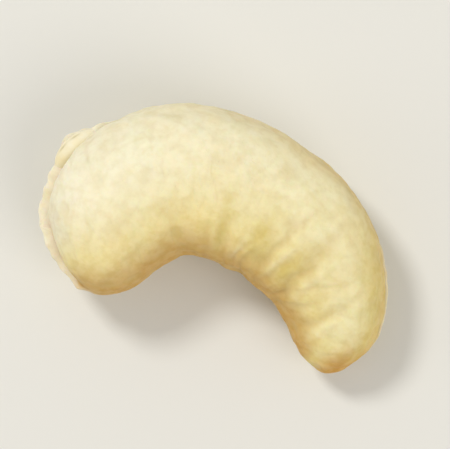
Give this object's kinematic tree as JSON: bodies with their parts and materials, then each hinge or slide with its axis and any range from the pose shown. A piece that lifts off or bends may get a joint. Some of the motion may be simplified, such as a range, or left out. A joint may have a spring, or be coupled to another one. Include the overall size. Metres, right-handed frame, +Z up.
{
  "type": "cashew kernel",
  "caption": "Whole shelled cashew kernel: a kidney-shaped nut of two seed leaves with a seam round its edge, a blunt germ end, a slim end and a creased open bay.",
  "frame": {"origin": "under the middle of the kernel's box, on the surface that it lies on", "axes": "+X from the blunt end to the slim end, +Y from the bay towards the rounded back, +Z up through both seed leaves"},
  "size_m": [0.0264, 0.0158, 0.0109],
  "materials": {
    "kernel_flesh": "raw nut flesh: dull, a little waxy, ivory at the blunt end and straw yellow to tan in the bay and at the slim end; matte_plastic stands in for it"
  },
  "bodies": {
    "root": {"kernel": "kernel_flesh"}
  },
  "joints": []
}
